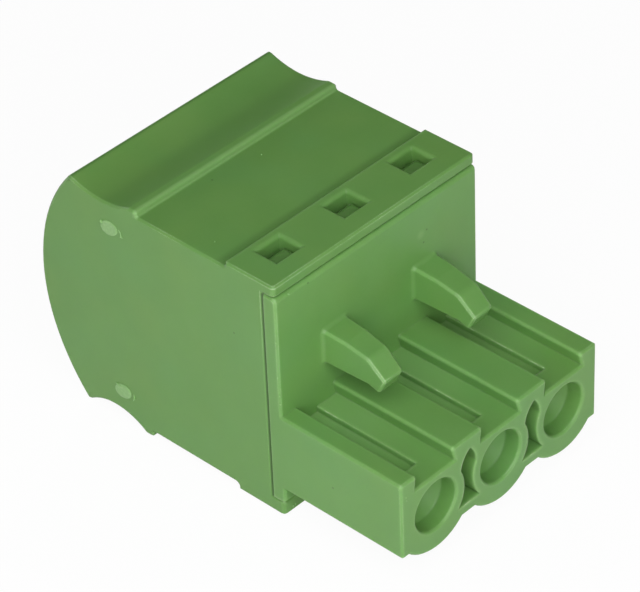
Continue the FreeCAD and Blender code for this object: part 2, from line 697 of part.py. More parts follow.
def contact(pole):
    """Folded socket contact: a floor strip that runs back under the wire, and two blades for the pin."""
    body = new_body(f"contact_{pole}", pole)
    half = at.contact_half
    inside = half - at.contact_thickness
    strip = new_sketch(body, "strip", "plan", offset=tail_bottom)
    draw_box(strip, -half, half, -at.base_front, tail_end)
    pad(body, strip, at.contact_thickness)

    walls = new_sketch(body, "walls", "plan", offset=tail_bottom)
    for side in (-1, 1):
        near, far = sorted((side * inside, side * half), key=lambda size: size.value)
        draw_box(walls, near, far, -at.base_front, -at.base_rear)
    pad(body, walls, at.blade_half - tail_bottom)

    blades = new_sketch(body, "blades", "plan")
    for side in (-1, 1):
        nip, flare = at.blade_pinch, at.blade_pinch - at.blade_flare
        draw(blades, [
            (side * inside, -at.base_rear), (side * inside, -at.base_front),
            (side * (inside - nip), -at.nip_reach), (side * (inside - flare), -contact_tip),
            (side * (half - flare), -contact_tip), (side * (half - nip), -at.nip_reach),
            (side * half, -at.base_front), (side * half, -at.base_rear),
        ])
    pad(body, blades, 2 * at.blade_half, symmetric=True)
    return body


def contact_spring(pole):
    """Steel spring clipped over the contact's base, whose legs press the blades together."""
    body = new_body(f"contact_spring_{pole}", pole)
    inner = at.contact_half + at.spring_gap
    rear = at.base_rear + 2 * at.fit_gap
    legs = new_sketch(body, "legs", "plan")
    for side in (-1, 1):
        draw(legs, [
            (side * inner, -rear), (side * inner, -at.base_front),
            (side * (inner - at.blade_pinch), -at.nip_reach),
            (side * (spring_outer - at.blade_pinch), -at.nip_reach),
            (side * spring_outer, -at.base_front), (side * spring_outer, -rear),
        ])
    pad(body, legs, 2 * at.spring_half, symmetric=True)

    saddle = new_sketch(body, "saddle", "front", offset=-rear)
    draw(saddle, [
        (-spring_outer, 0), (-inner, 0), (-inner, spring_top - at.spring_thickness),
        (inner, spring_top - at.spring_thickness), (inner, 0), (spring_outer, 0),
        (spring_outer, spring_top), (-spring_outer, spring_top),
    ])
    pad(body, saddle, at.base_front - rear)
    return body


def clamp_frame(pole):
    """Bent strip round the screw, the nut and the jaw, pierced for the screw, the wire and the contact."""
    body = new_body(f"clamp_frame_{pole}", pole)
    profile = new_sketch(body, "profile", "side")
    draw_round_box(profile, frame_front, frame_rear, frame_bottom, frame_top, at.bend_radius)
    draw_round_box(profile, frame_inner_front, frame_inner_rear, frame_bottom + at.frame_thickness,
                   frame_top - at.frame_thickness, at.bend_radius - at.frame_thickness)
    pad(body, profile, frame_width, symmetric=True)

    front_wall = new_sketch(body, "front_wall", "front", offset=frame_front)
    draw_circle(front_wall, 0, screw_height, at.screw_radius + at.fit_gap)
    draw_box(front_wall, -at.contact_half - at.slide_gap, at.contact_half + at.slide_gap,
             tail_bottom, tail_top + at.slide_gap)
    pocket(body, front_wall, at.bend_radius)

    rear_wall = new_sketch(body, "rear_wall", "front", offset=frame_inner_rear - at.slide_gap)
    draw_circle(rear_wall, 0, screw_height, at.screw_radius + at.fit_gap)
    draw_circle(rear_wall, 0, wire_height, at.wire_radius)
    pocket(body, rear_wall, at.frame_thickness + 2 * at.slide_gap)
    return body


def clamp_screw(pole):
    """Slotted cylinder-head screw, drawn about its own axis."""
    body = new_body(f"clamp_screw_{pole}", pole, rise=screw_height)
    tip = frame_front - 2 * at.fit_gap
    profile = new_sketch(body, "profile", "side")
    draw(profile, [
        (tip, 0), (head_rear, 0), (head_rear, at.head_radius - at.screw_point),
        (head_rear - at.screw_point, at.head_radius), (head_front, at.head_radius),
        (head_front, at.screw_radius), (tip + at.screw_point, at.screw_radius),
        (tip, at.screw_radius - at.screw_point),
    ])
    turn_about_axis("Revolution", body, profile)
    slot = new_sketch(body, "slot", "front", offset=head_rear)
    draw_box(slot, -at.head_radius, at.head_radius, -at.drive_width / 2, at.drive_width / 2)
    pocket(body, slot, at.drive_depth, reverse=True)
    return body


def wedge_nut(pole):
    """Threaded wedge that the screw draws to the rear, over the jaw's slope."""
    body = new_body(f"wedge_nut_{pole}", pole)
    profile = new_sketch(body, "profile", "side")
    draw(profile, [
        (nut_front, nut_toe), (nut_toe_reach, nut_toe), (nut_rear, nut_slope_top),
        (nut_rear, screw_height + at.nut_half), (nut_front, screw_height + at.nut_half),
    ])
    pad(body, profile, slider_width, symmetric=True)
    thread = new_sketch(body, "thread", "front", offset=nut_front)
    draw_circle(thread, 0, screw_height, at.screw_radius + at.slide_gap)
    pocket(body, thread, nut_rear - nut_front)
    return body


def clamp_jaw(pole):
    """Pressure piece whose sloped back the wedge nut drives down onto the wire."""
    body = new_body(f"clamp_jaw_{pole}", pole)
    profile = new_sketch(body, "profile", "side")
    draw(profile, [
        (jaw_front, jaw_bottom), (jaw_rear, jaw_bottom), (jaw_rear, jaw_top),
        (jaw_slope_top, jaw_top), (jaw_front, jaw_bottom + at.jaw_edge),
    ])
    pad(body, profile, slider_width, symmetric=True)
    groove = new_sketch(body, "groove", "front", offset=jaw_front)
    draw(groove, [(-2 * at.jaw_groove, jaw_bottom), (2 * at.jaw_groove, jaw_bottom),
                  (0, jaw_bottom + at.jaw_groove)])
    pocket(body, groove, jaw_rear - jaw_front)
    return body


sub_parts = [housing(), nose_front()]
for number in range(1, int(at.poles.value) + 1):
    for build in (contact, contact_spring, clamp_frame, clamp_screw, wedge_nut, clamp_jaw):
        sub_parts.append(build(number))
doc.recompute()

for item in doc.Objects:
    if {"Invalid", "Error"} & set(item.State):
        raise RuntimeError(f"{item.Label} failed: {item.State}")
for part in sub_parts:
    if part.Shape.isNull() or not part.Shape.isValid() or len(part.Shape.Solids) != 1:
        raise RuntimeError(f"{part.Label} isn't one valid solid")

os.makedirs("parts", exist_ok=True)
for part in sub_parts:
    part.Shape.exportStep(f"parts/{part.Label}.step")
    print(f"{part.Label}: {part.Shape.Volume:.2f} mm3")
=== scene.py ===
import math

import bpy
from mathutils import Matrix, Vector


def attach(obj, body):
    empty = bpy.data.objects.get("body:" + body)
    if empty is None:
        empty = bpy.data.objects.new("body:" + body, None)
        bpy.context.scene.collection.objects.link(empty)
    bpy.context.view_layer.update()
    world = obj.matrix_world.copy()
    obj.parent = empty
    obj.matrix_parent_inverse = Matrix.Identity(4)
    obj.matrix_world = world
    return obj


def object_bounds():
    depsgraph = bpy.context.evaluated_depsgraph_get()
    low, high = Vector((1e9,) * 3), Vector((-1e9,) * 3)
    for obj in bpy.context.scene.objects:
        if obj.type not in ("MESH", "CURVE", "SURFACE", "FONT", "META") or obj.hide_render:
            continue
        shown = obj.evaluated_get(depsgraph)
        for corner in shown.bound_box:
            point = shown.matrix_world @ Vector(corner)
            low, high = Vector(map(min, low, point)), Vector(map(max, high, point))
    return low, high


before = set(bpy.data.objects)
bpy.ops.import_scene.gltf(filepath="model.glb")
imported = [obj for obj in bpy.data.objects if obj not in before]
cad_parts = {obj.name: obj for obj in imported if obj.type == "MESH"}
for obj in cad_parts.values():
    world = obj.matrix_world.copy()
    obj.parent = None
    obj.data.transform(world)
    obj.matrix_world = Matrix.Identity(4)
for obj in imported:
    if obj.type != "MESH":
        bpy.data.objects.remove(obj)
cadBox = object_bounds()
print("frame loaded:", len(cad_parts), "nodes")

mm = 0.001
poles = (1, 2, 3)
plainWhite = (1, 1, 1, 1)
raySamples = 6      # of the nodes that feel for edges
smoothAngle = 50    # degrees between two faces, up to which they shade as one


class Wire:  # one output socket of a node tree, so that its sums read as plain Python
    def __init__(self, tree, socket=None):
        self.tree = tree
        self.socket = socket

    def node(self, kind, settings=None, inputs=None, output=0):
        made = self.tree.nodes.new(kind)
        for name, value in (settings or {}).items():
            setattr(made, name, value)
        for name, value in (inputs or {}).items():
            if isinstance(value, Wire):
                self.tree.links.new(value.socket, made.inputs[name])
            else:
                made.inputs[name].default_value = value
        return Wire(self.tree, made.outputs[output])

    def compute(self, operation, first, second=0.0):
        return self.node("ShaderNodeMath", {"operation": operation}, {0: first, 1: second})

    def __add__(self, other):
        return self.compute("ADD", self, other)

    def __radd__(self, other):
        return self.compute("ADD", other, self)

    def __sub__(self, other):
        return self.compute("SUBTRACT", self, other)

    def __rsub__(self, other):
        return self.compute("SUBTRACT", other, self)

    def __mul__(self, other):
        return self.compute("MULTIPLY", self, other)

    def __rmul__(self, other):
        return self.compute("MULTIPLY", other, self)

    def clamp(self):
        return self.node("ShaderNodeClamp", None, {"Value": self})

    def scaled(self, gain, base):
        return self * gain + base

    def apart(self, middle):  # how far it is from this number, either way
        return self.compute("ABSOLUTE", self - middle)

    def smooth(self, low, high):  # 0 below low, 1 above high, with a soft change between
        return self.node("ShaderNodeMapRange", {"interpolation_type": "SMOOTHSTEP"},
                         {"Value": self, "From Min": low, "From Max": high})

    def between(self, low, high, soft):  # 1 from low to high, and soft outside
        return self.smooth(low - soft, low) * (1.0 - self.smooth(high, high + soft))

    def mix(self, first, second):  # from the first colour to the second by this share
        return self.node("ShaderNodeMix", {"data_type": "RGBA"}, {0: self, 6: first, 7: second},
                         output=2)

    def axis(self, name):
        return self.node("ShaderNodeSeparateXYZ", None, {0: self}, output=name)

    def noise(self, size, detail):  # size of one blotch, in metres; 0.5 on average
        return self.node("ShaderNodeTexNoise", None,
                         {"Vector": self, "Scale": 1 / size, "Detail": detail})

    def near(self, centre, inner, outer):  # 1 up to inner from the centre, 0 from outer on
        away = self.node("ShaderNodeVectorMath", {"operation": "DISTANCE"},
                         {0: self, 1: centre}, output="Value")
        return 1.0 - away.smooth(inner, outer)

    def edges(self, reach):  # share of short inward rays that leave the piece: high at edges
        kept = self.node("ShaderNodeAmbientOcclusion",
                         {"inside": True, "only_local": True, "samples": raySamples},
                         {"Distance": reach}, output="AO")
        return 1.0 - kept

    def bump(self, strength, **more):  # a normal from this height, which is in metres
        return self.node("ShaderNodeBump", None,
                         {"Height": self, "Strength": strength, "Distance": 1.0, **more})


def newMaterial(name):
    material = bpy.data.materials.new(name)
    material.use_nodes = True
    material.node_tree.nodes.clear()
    return material, Wire(material.node_tree)


def finishTree(start, surface, kind="ShaderNodeOutputMaterial"):
    output = start.tree.nodes.new(kind)
    start.tree.links.new(surface.socket, output.inputs["Surface"])


def dress(node, material):
    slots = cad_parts[node].data.materials
    slots.clear()
    slots.append(material)


def at(x, y, z):  # a place on the block, given in millimetres
    return Vector((x, y, z)) * mm


def towards(azimuth, elevation):  # degrees; azimuth 0 is straight in front of the nose
    azimuth, elevation = math.radians(azimuth), math.radians(elevation)
    return Vector((math.sin(azimuth) * math.cos(elevation),
                   -math.cos(azimuth) * math.cos(elevation), math.sin(elevation)))


# Satin green polyamide of both mouldings
plastic = {
    "coolGreen": (0.112, 0.306, 0.098, 1),   # patches that lean to blue
    "warmGreen": (0.170, 0.300, 0.060, 1),   # and to olive
    "paleGreen": (0.270, 0.470, 0.180, 1),   # painted highlight on edges, painted light on channel floors and scoop edge, a pale mark
    "paintedHighlight": (0.82, 0.92, 0.70, 1),         # painted highlight: bright hairlines on edges
    "shade": (0.070, 0.175, 0.036, 1),       # painted shade behind the ledge, in the scoop, on the catches; dark line on the scoop's rim
    "dust": (0.035, 0.080, 0.022, 1),        # in the seam, and in specks

    # noises, each with the size of its blotches and its detail
    "cloud": (2.6 * mm, 3.0),
    "speckle": (0.16 * mm, 1.0),
    "patch": (4.2 * mm, 1.5),
    "highlightPatch": (0.8 * mm, 2.0),
    "grain": (0.07 * mm, 2.0),
    "wave": (1.9 * mm, 1.0),

    "cloudTone": 1.3,             # tone of green, out of cloud and speckle
    "speckleTone": 0.5,
    "toneDrop": 0.45,
    "coolOnset": (0.50, 0.70),    # an onset is where something begins and where it is full
    "warmOnset": (0.30, 0.50),
    "patchShare": 0.15,
    "edgeOnset": (0.08, 0.45),
    "edgeMottle": (0.8, 0.6),     # a mottle is the speckle's gain and base
    "hairline": 0.06 * mm,        # reach of the painted highlight hairlines
    "hairlineOnset": (0.10, 0.34),
    "hairlineMottle": (0.9, 0.45),
    "highlightPatchOnset": (0.52, 0.70),
    "highlightPatchShare": 0.35,
    "facingUp": (0.50, 0.90),     # of the normal's Z
    "bandEnd": 0.05 * mm,         # fade at a band's lowest and highest z
    "smudgeCore": 0.05 * mm,
    "speck": 0.075 * mm,
    "speckCore": 0.4,
    "speckShare": 0.65,

    "roughness": 0.46,
    "cloudRoughness": 0.10,
    "speckleRoughness": 0.06,
    "refraction": 1.53,
    "glowColour": (0.6, 1.0, 0.4),
    "rounding": 0.16 * mm,        # softening of the shading at each edge
    "grainDepth": 0.0012 * mm,
    "waveDepth": 0.009 * mm,
    "bumpStrength": 0.6,
}
# A band is a stripe along X: its y, half its width where it is full and where it ends,
# its lowest and highest z, all in millimetres, its colour and share. On top, it is only
# where the surface faces up. Plain edges carry no painted highlight.
mouldings = {
    "housing": {
        "name": "housingPlastic",
        "deepGreen": (0.118, 0.277, 0.061, 1),
        "green": (0.140, 0.305, 0.075, 1),
        "glow": 0.20,
        "glowReach": 0.45 * mm,
        "edge": 0.22 * mm,
        "edgeShare": 0.34,
        "bands": (
            dict(y=-0.85, full=0.10, end=0.55, low=14.90, high=15.10,   # painted shadow behind the ledge
                 colour="shade", share=0.42, onTop=True),
            dict(y=6.80, full=0.50, end=1.70, low=14.00, high=15.25,    # painted shade at the scoop's foot
                 colour="shade", share=0.30, onTop=True),
            dict(y=5.30, full=0.12, end=0.24, low=14.90, high=15.50,    # painted light on the scoop's front edge
                 colour="paleGreen", share=0.30),
            dict(y=10.27, full=0.05, end=0.20, low=15.00, high=15.50,   # scoop's rim
                 colour="shade", share=0.60),
            dict(y=-3.80, full=0.04, end=0.09, low=0.95, high=14.50,    # seam at the plate
                 colour="dust", share=0.60),
        ),
        "plain": ((-1.25, 0.20, 0.50),),   # y, and the reach where it is full and where it ends
        "highlightSpots": (                      # centre, reach and share of each painted highlight spot
            (at(-7.66, -4.49, 15.24), 6.0 * mm, 1.0),    # ledge's front corner and edge
            (at(1.5, -4.62, 15.23), 6.5 * mm, 0.7),
            (at(-7.70, 10.4, 14.3), 3.0 * mm, 0.5),      # left end of the scoop's rim
            (at(-7.70, 3.2, 15.1), 2.5 * mm, 0.4),       # left edge of the top
        ),
        "specks": (at(-7.72, -1.64, 10.89), at(-2.74, 4.53, 14.98)),
    },
    "nose_front": {
        "name": "nosePlastic",
        "deepGreen": (0.127, 0.297, 0.070, 1),
        "green": (0.150, 0.327, 0.086, 1),
        "glow": 0.34,
        "glowReach": 0.80 * mm,
        "edge": 0.28 * mm,
        "edgeShare": 0.52,
        "bands": (
            dict(y=-3.88, full=0.03, end=0.07, low=0.95, high=14.50,    # seam at the housing
                 colour="dust", share=0.60),
            dict(y=-2.80, full=0.80, end=1.00, low=13.60, high=15.40,   # painted shade on the catches in the windows
                 colour="shade", share=0.60),
            dict(y=-5.00, full=1.20, end=7.50, low=5.50, high=6.10,     # painted light on the channel floors
                 colour="paleGreen", share=0.27, onTop=True),
        ),
        # spots of painted highlight: centre, reach and share
        "highlightSpots": (
            (at(-4.22, -8.20, 9.82), 0.9 * mm, 0.9),     # latch arms
            (at(-4.19, -8.79, 9.32), 0.9 * mm, 1.0),
            (at(2.75, -7.95, 9.90), 0.9 * mm, 0.8),
            (at(2.77, -8.62, 9.20), 0.9 * mm, 1.0),
            (at(-7.70, -4.65, 11.5), 4.5 * mm, 0.6),     # plate's left edge
            (at(-7.66, -13.10, 4.6), 2.6 * mm, 0.6),     # nose's left edge
        ),
        "smudges": ((at(3.29, -4.76, 12.45), 0.42 * mm, 0.32),),
        "specks": (at(-3.64, -8.12, 6.32), at(-5.27, -4.76, 14.29), at(-7.72, -8.33, 4.10),
                   at(3.76, -4.76, 12.54), at(3.50, -4.76, 11.84)),
    },
}


def greenPlastic(part):
    look = plastic
    material, start = newMaterial(part["name"])
    place = start.node("ShaderNodeTexCoord", output="Object")
    cloud, speckle, patch = (place.noise(*look[key]) for key in ("cloud", "speckle", "patch"))

    tone = (cloud * look["cloudTone"] + speckle * look["speckleTone"] - look["toneDrop"]).clamp()
    colour = tone.mix(part["deepGreen"], part["green"])
    cool, warm = patch.smooth(*look["coolOnset"]), 1.0 - patch.smooth(*look["warmOnset"])
    colour = (cool * look["patchShare"]).mix(colour, look["coolGreen"])
    colour = (warm * look["patchShare"]).mix(colour, look["warmGreen"])

    # painted highlight: edges made lighter in colour
    edge = start.edges(part["edge"]).smooth(*look["edgeOnset"])
    edge = edge * speckle.scaled(*look["edgeMottle"]) * part["edgeShare"]
    colour = edge.clamp().mix(colour, look["paleGreen"])

    depth, height = place.axis("Y"), place.axis("Z")
    normal = start.node("ShaderNodeNewGeometry", output="Normal")
    upward = normal.axis("Z").smooth(*look["facingUp"])
    # bands: painted shade, painted light, and dark seams
    for band in part["bands"]:
        share = 1.0 - depth.apart(band["y"] * mm).smooth(band["full"] * mm, band["end"] * mm)
        share = share * height.between(band["low"] * mm, band["high"] * mm, look["bandEnd"])
        if band.get("onTop"):
            share = share * upward
        colour = (share * band["share"]).mix(colour, look[band["colour"]])
    for centre, reach, share in part.get("smudges", ()):
        smudge = place.near(centre, look["smudgeCore"], reach)
        colour = (smudge * share).mix(colour, look["paleGreen"])

    # painted highlight: near-white hairlines on edges, in noise patches and at the listed spots
    hairline = start.edges(look["hairline"]).smooth(*look["hairlineOnset"])
    for middle, full, end in part.get("plain", ()):
        hairline = hairline * depth.apart(middle * mm).smooth(full * mm, end * mm)
    highlightPatch = place.noise(*look["highlightPatch"]).smooth(*look["highlightPatchOnset"]) * look["highlightPatchShare"]
    for centre, reach, share in part["highlightSpots"]:
        highlightPatch = highlightPatch + place.near(centre, 0.0, reach) * share
    hairline = hairline * highlightPatch.clamp() * speckle.scaled(*look["hairlineMottle"])
    colour = hairline.clamp().mix(colour, look["paintedHighlight"])
    for centre in part["specks"]:
        speck = place.near(centre, look["speck"] * look["speckCore"], look["speck"])
        colour = (speck * look["speckShare"]).mix(colour, look["dust"])

    relief = place.noise(*look["grain"]) * look["grainDepth"]
    relief = relief + place.noise(*look["wave"]) * look["waveDepth"]
    rounded = start.node("ShaderNodeBevel", {"samples": raySamples}, {"Radius": look["rounding"]})
    roughness = look["roughness"] + (cloud - 0.5) * look["cloudRoughness"]
    roughness = roughness + (speckle - 0.5) * look["speckleRoughness"]
    surface = start.node("ShaderNodeBsdfPrincipled", None, {
        "Base Color": colour, "Roughness": roughness, "IOR": look["refraction"],
        "Normal": relief.bump(look["bumpStrength"], Normal=rounded),
        "Subsurface Weight": part["glow"], "Subsurface Radius": look["glowColour"],
        "Subsurface Scale": part["glowReach"]})
    finishTree(start, surface)
    return material


for node, part in mouldings.items():
    dress(node, greenPlastic(part))
print("plastic dressed")


# Plated metals inside the clamps; grain stretches the drawing lines along the strip
plating = {
    "line": (0.125, 3.0),         # size, before the grain divides it, and detail
    "cloud": (0.9 * mm, 3.0),
    "stainOnset": (0.45, 0.75),
    "lineRoughness": 0.18,
    "cloudRoughness": 0.10,
    "lineHeight": 0.004 * mm,
    "bumpStrength": 0.5,
}
metals = {
    "tinnedContact": {"nodes": "contact", "roughness": 0.32, "grain": (60, 900, 900),
                      "colour": (0.72, 0.71, 0.68, 1), "stain": (0.55, 0.53, 0.49, 1)},
    "springSteel": {"nodes": "contact_spring", "roughness": 0.25, "grain": (80, 1200, 1200),
                    "colour": (0.55, 0.55, 0.56, 1), "stain": (0.40, 0.40, 0.42, 1)},
    "nickelFrame": {"nodes": "clamp_frame", "roughness": 0.34, "grain": (900, 60, 900),
                    "colour": (0.66, 0.64, 0.60, 1), "stain": (0.50, 0.48, 0.44, 1)},
    "zincScrew": {"nodes": "clamp_screw", "roughness": 0.30, "grain": (700, 200, 700),
                  "colour": (0.70, 0.71, 0.73, 1), "stain": (0.52, 0.54, 0.58, 1),
                  "threaded": True},
    "nickelNut": {"nodes": "wedge_nut", "roughness": 0.36, "grain": (900, 900, 120),
                  "colour": (0.70, 0.67, 0.60, 1), "stain": (0.55, 0.51, 0.44, 1)},
    "nickelJaw": {"nodes": "clamp_jaw", "roughness": 0.36, "grain": (120, 900, 900),
                  "colour": (0.70, 0.67, 0.60, 1), "stain": (0.55, 0.51, 0.44, 1)},
}
thread = {
    "pitch": 0.5 * mm,
    "depth": 0.11 * mm,
    "height": 11.18 * mm,     # of the screws' axes
    "shank": 1.52 * mm,
    "fade": 0.03 * mm,        # to nothing outside the shank
    "spacing": 5.08 * mm,     # from screw to screw
}


def threadHeight(start, place):  # one ridge that winds round each screw's shank
    across, along = place.axis("X"), place.axis("Y")
    up = place.axis("Z") - thread["height"]
    side = start.node("ShaderNodeMath", {"operation": "WRAP"},
                      {0: across, 1: thread["spacing"] / 2, 2: -thread["spacing"] / 2})
    turn = start.compute("ARCTAN2", up, side) * (0.5 / math.pi)
    ridge = start.compute("PINGPONG", along * (1 / thread["pitch"]) + turn, 0.5) * 2.0
    radius = start.compute("SQRT", up * up + side * side)
    onShank = 1.0 - radius.smooth(thread["shank"], thread["shank"] + thread["fade"])
    return ridge * onShank * thread["depth"]


def platedMetal(name, look):
    material, start = newMaterial(name)
    place = start.node("ShaderNodeTexCoord", output="Object")
    stretched = start.node("ShaderNodeMapping", None, {"Vector": place, "Scale": look["grain"]})
    lines = stretched.noise(*plating["line"])
    cloud = place.noise(*plating["cloud"])
    colour = cloud.smooth(*plating["stainOnset"]).mix(look["colour"], look["stain"])
    roughness = look["roughness"] + (lines - 0.5) * plating["lineRoughness"]
    roughness = roughness + (cloud - 0.5) * plating["cloudRoughness"]
    height = lines * plating["lineHeight"]
    if look.get("threaded"):
        height = height + threadHeight(start, place)
    surface = start.node("ShaderNodeBsdfPrincipled", None, {
        "Base Color": colour, "Metallic": 1.0, "Roughness": roughness,
        "Normal": height.bump(plating["bumpStrength"])})
    finishTree(start, surface)
    return material


for name, look in metals.items():
    metal = platedMetal(name, look)
    for pole in poles:
        dress(f"{look['nodes']}_{pole}", metal)
print("metals dressed")


# Round marks of the tool's pins on the left side: low scuffed discs
pinMarks = {
    "sides": 40,
    "halfLength": 0.65,       # in millimetres
    "halfWidth": 0.46,
    "turn": 18,               # degrees, from level
    "sunk": 0.05 * mm,
    "proud": 0.015 * mm,
    "rimWidth": 0.05 * mm,
    "rimRise": 0.030 * mm,
    "dishWidth": 0.12 * mm,
    "dishDepth": 0.010 * mm,
    "faceNormal": -0.9,       # the outer face's normal has an X below this
    "centres": {"pinMarkUpper": at(-7.72, 7.39, 13.26), "pinMarkLower": at(-7.72, 7.38, 2.14)},
}
scuffed = {
    "colour": (0.225, 0.420, 0.150, 1),
    "bright": (0.330, 0.540, 0.240, 1),
    "mottle": (0.14 * mm, 2.0),
    "mottleOnset": (0.40, 0.70),
    "mottleShare": 0.35,
    "edge": 0.05 * mm,
    "edgeOnset": (0.45, 0.75),
    "edgeShare": 0.5,
    "roughness": 0.40,
    "roughnessChange": 0.15,
    "bumpHeight": 0.004 * mm,
    "bumpStrength": 0.6,
    "glow": 0.20,
    "glowReach": 0.2 * mm,
}


def scuffedPlastic():
    look = scuffed
    material, start = newMaterial("scuffedPlastic")
    place = start.node("ShaderNodeTexCoord", output="Object")
    mottle = place.noise(*look["mottle"])
    edge = start.edges(look["edge"]).smooth(*look["edgeOnset"]) * look["edgeShare"]
    share = (mottle.smooth(*look["mottleOnset"]) * look["mottleShare"] + edge).clamp()
    surface = start.node("ShaderNodeBsdfPrincipled", None, {
        "Base Color": share.mix(look["colour"], look["bright"]),
        "Roughness": look["roughness"] + (mottle - 0.5) * look["roughnessChange"],
        "IOR": plastic["refraction"],
        "Normal": (mottle * look["bumpHeight"]).bump(look["bumpStrength"]),
        "Subsurface Weight": look["glow"], "Subsurface Radius": plastic["glowColour"],
        "Subsurface Scale": look["glowReach"]})
    finishTree(start, surface)
    return material


scuffedGreen = scuffedPlastic()


def selectOuterFace(piece, limit):
    bpy.ops.mesh.select_all(action="DESELECT")
    bpy.ops.object.mode_set(mode="OBJECT")
    for face in piece.data.polygons:
        face.select = face.normal.x < limit
    bpy.ops.object.mode_set(mode="EDIT")


def startShaping(name):  # the new primitive gets its name and is opened in edit mode
    piece = bpy.context.object
    piece.name = name
    bpy.ops.object.transform_apply(location=True, rotation=True, scale=True)
    bpy.ops.object.mode_set(mode="EDIT")
    bpy.ops.mesh.select_mode(type="FACE")
    bpy.ops.mesh.select_all(action="SELECT")
    return piece


def settle(piece):  # smooth shading, finish and the body it rides on
    bpy.ops.object.mode_set(mode="OBJECT")
    bpy.ops.object.shade_smooth_by_angle(angle=math.radians(smoothAngle))
    piece.data.materials.append(scuffedGreen)
    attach(piece, "block")


def makePinMark(name, centre):
    look = pinMarks
    inwards = Vector(((look["sunk"] - look["proud"]) / 2, 0, 0))
    bpy.ops.object.select_all(action="DESELECT")
    bpy.ops.mesh.primitive_cylinder_add(vertices=look["sides"], radius=mm,
                                        depth=look["sunk"] + look["proud"],
                                        end_fill_type="NGON", rotation=(0, -math.pi / 2, 0),
                                        location=centre + inwards)
    piece = startShaping(name)
    bpy.ops.transform.resize(value=(1, look["halfLength"], look["halfWidth"]),
                             center_override=centre)
    bpy.ops.transform.rotate(value=math.radians(look["turn"]), orient_axis="X",
                             center_override=centre)
    selectOuterFace(piece, look["faceNormal"])
    bpy.ops.mesh.inset(thickness=look["rimWidth"])
    bpy.ops.transform.translate(value=(-look["rimRise"], 0, 0))
    bpy.ops.mesh.inset(thickness=look["dishWidth"])
    bpy.ops.transform.translate(value=(look["dishDepth"], 0, 0))
    settle(piece)


for name, centre in pinMarks["centres"].items():
    makePinMark(name, centre)
print("pin marks made")


# Threads of flash beside the marks and crumbs of it along the edges
flash = {
    "sides": 6,
    "rounds": 2,                         # subdivisions of a crumb
    "crumbShape": (0.7, 0.8, 1.5),
    "crumbChange": (1.0, 1.25, 0.8),     # from one crumb to the next
    "threads": {                         # widths at the points of the path, in millimetres
        "flashUpper": {"slot": "housing_plastic", "widths": (0.012, 0.030, 0.034, 0.050, 0.020),
                       "path": (at(-7.72, 6.68, 13.50), at(-7.73, 6.53, 13.37),
                                at(-7.74, 6.50, 13.19), at(-7.74, 6.45, 13.10),
                                at(-7.73, 6.40, 13.06))},
        "flashUpperFoot": {"slot": "housing_plastic", "widths": (0.020, 0.030, 0.015),
                           "path": (at(-7.73, 6.50, 13.12), at(-7.73, 6.55, 13.05),
                                    at(-7.72, 6.60, 13.00))},
        "flashUpperEnd": {"slot": "housing_plastic", "widths": (0.030, 0.075, 0.070, 0.030),
                          "path": (at(-7.75, 7.95, 13.55), at(-7.76, 7.93, 13.48),
                                   at(-7.76, 7.91, 13.38), at(-7.75, 7.90, 13.30))},
        "flashLower": {"slot": "housing_plastic", "widths": (0.015, 0.045, 0.060, 0.018),
                       "path": (at(-7.72, 6.56, 2.34), at(-7.74, 6.51, 2.18),
                                at(-7.74, 6.53, 2.02), at(-7.72, 6.65, 1.83))},
        "flashLowerStreak": {"slot": "housing_plastic", "widths": (0.020, 0.055, 0.055, 0.015),
                             "path": (at(-7.75, 7.90, 2.46), at(-7.76, 7.76, 2.47),
                                      at(-7.76, 7.56, 2.42), at(-7.75, 7.38, 2.37))},
    },
    "crumbs": {
        "flashPlate": {"slot": "nose_plastic", "size": 0.045 * mm,
                       "centres": (at(-7.72, -4.68, 9.50), at(-7.71, -4.74, 8.30),
                                   at(-7.70, -4.75, 7.75), at(-7.72, -4.66, 11.80),
                                   at(-6.72, -4.75, 14.42))},
        "flashNose": {"slot": "nose_plastic", "size": 0.038 * mm,
                      "centres": (at(-7.70, -12.98, 6.60), at(-7.36, -13.14, 5.95),
                                  at(-7.33, -13.14, 5.72))},
        "flashTop": {"slot": "housing_plastic", "size": 0.045 * mm,
                     "centres": (at(-6.52, 0.62, 14.98), at(0.59, 4.13, 14.98))},
        "flashSill": {"slot": "housing_plastic", "size": 0.050 * mm,
                      "centres": (at(-7.07, -4.66, 0.31), at(-6.90, -4.66, 0.35))},
    },
}


def makeThread(name, look):
    path, widths = look["path"], [width * mm for width in look["widths"]]
    aim = (path[1] - path[0]).to_track_quat("Z", "X").to_euler()
    bpy.ops.object.select_all(action="DESELECT")
    bpy.ops.mesh.primitive_circle_add(vertices=flash["sides"], radius=widths[0],
                                      fill_type="NGON", location=path[0], rotation=aim)
    piece = startShaping(name)
    for before, after, thin, wide in zip(path, path[1:], widths, widths[1:]):
        bpy.ops.mesh.extrude_region_move(TRANSFORM_OT_translate={"value": after - before})
        bpy.ops.transform.resize(value=(wide / thin,) * 3, center_override=after)
    bpy.ops.mesh.select_all(action="SELECT")
    bpy.ops.mesh.normals_make_consistent(inside=False)
    settle(piece)


def makeCrumbs(name, look):
    last = look["centres"][0]
    bpy.ops.object.select_all(action="DESELECT")
    bpy.ops.mesh.primitive_ico_sphere_add(subdivisions=flash["rounds"], radius=look["size"],
                                          location=last)
    piece = startShaping(name)
    bpy.ops.transform.resize(value=flash["crumbShape"], center_override=last)
    for centre in look["centres"][1:]:
        bpy.ops.mesh.duplicate_move(TRANSFORM_OT_translate={"value": centre - last})
        bpy.ops.transform.resize(value=flash["crumbChange"], center_override=centre)
        last = centre
    settle(piece)


for name, look in flash["threads"].items():
    makeThread(name, look)
for name, look in flash["crumbs"].items():
    makeCrumbs(name, look)
print("flash made")


